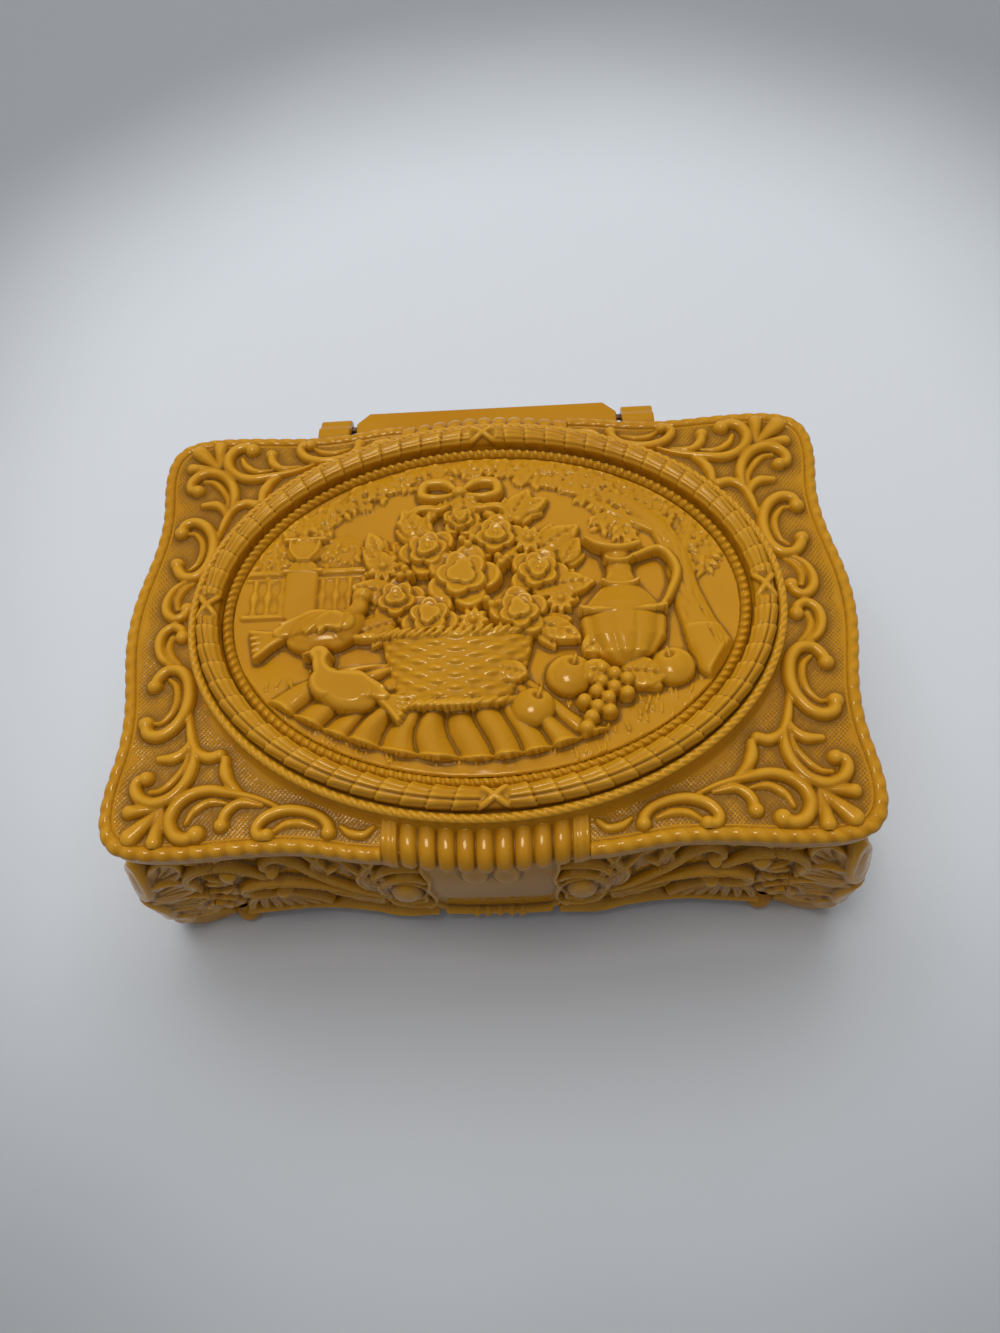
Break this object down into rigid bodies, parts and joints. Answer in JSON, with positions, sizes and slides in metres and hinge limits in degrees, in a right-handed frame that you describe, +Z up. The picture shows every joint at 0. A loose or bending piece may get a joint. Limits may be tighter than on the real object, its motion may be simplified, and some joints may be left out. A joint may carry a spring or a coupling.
{
  "type": "trinket box",
  "caption": "Footed oblong trinket box in moulded celluloid, with a bombe tray, lined inside, and a hinged lid that carries an oval relief plaque in a reeded moulding.",
  "frame": {"origin": "on the table, under the middle of the box and its hinge shelf", "axes": "+X to the right along the length, +Y to the back where the hinge is, +Z up"},
  "size_m": [0.165, 0.1252, 0.0626],
  "materials": {
    "celluloid": "moulded butterscotch celluloid, glossy on the high spots and dull brown in the recesses",
    "pin_steel": "thin steel pin, browned with age",
    "velvet": "short red pile on card"
  },
  "bodies": {
    "base": {"base_shell": "celluloid", "hinge_pin_left": "pin_steel", "hinge_pin_right": "pin_steel", "floor_pad": "velvet", "lining_right": "velvet", "lining_back": "velvet", "lining_left": "velvet", "lining_front": "velvet"},
    "lid": {"lid_shell": "celluloid", "lid_plaque": "celluloid", "lid_lining": "velvet"}
  },
  "joints": [
    {"name": "lid_hinge", "type": "hinge", "parent": "base", "child": "lid", "pos_m": [0, 0.05805, 0.0482], "axis": [-1, 0, 0], "range_deg": [0, 106]}
  ]
}
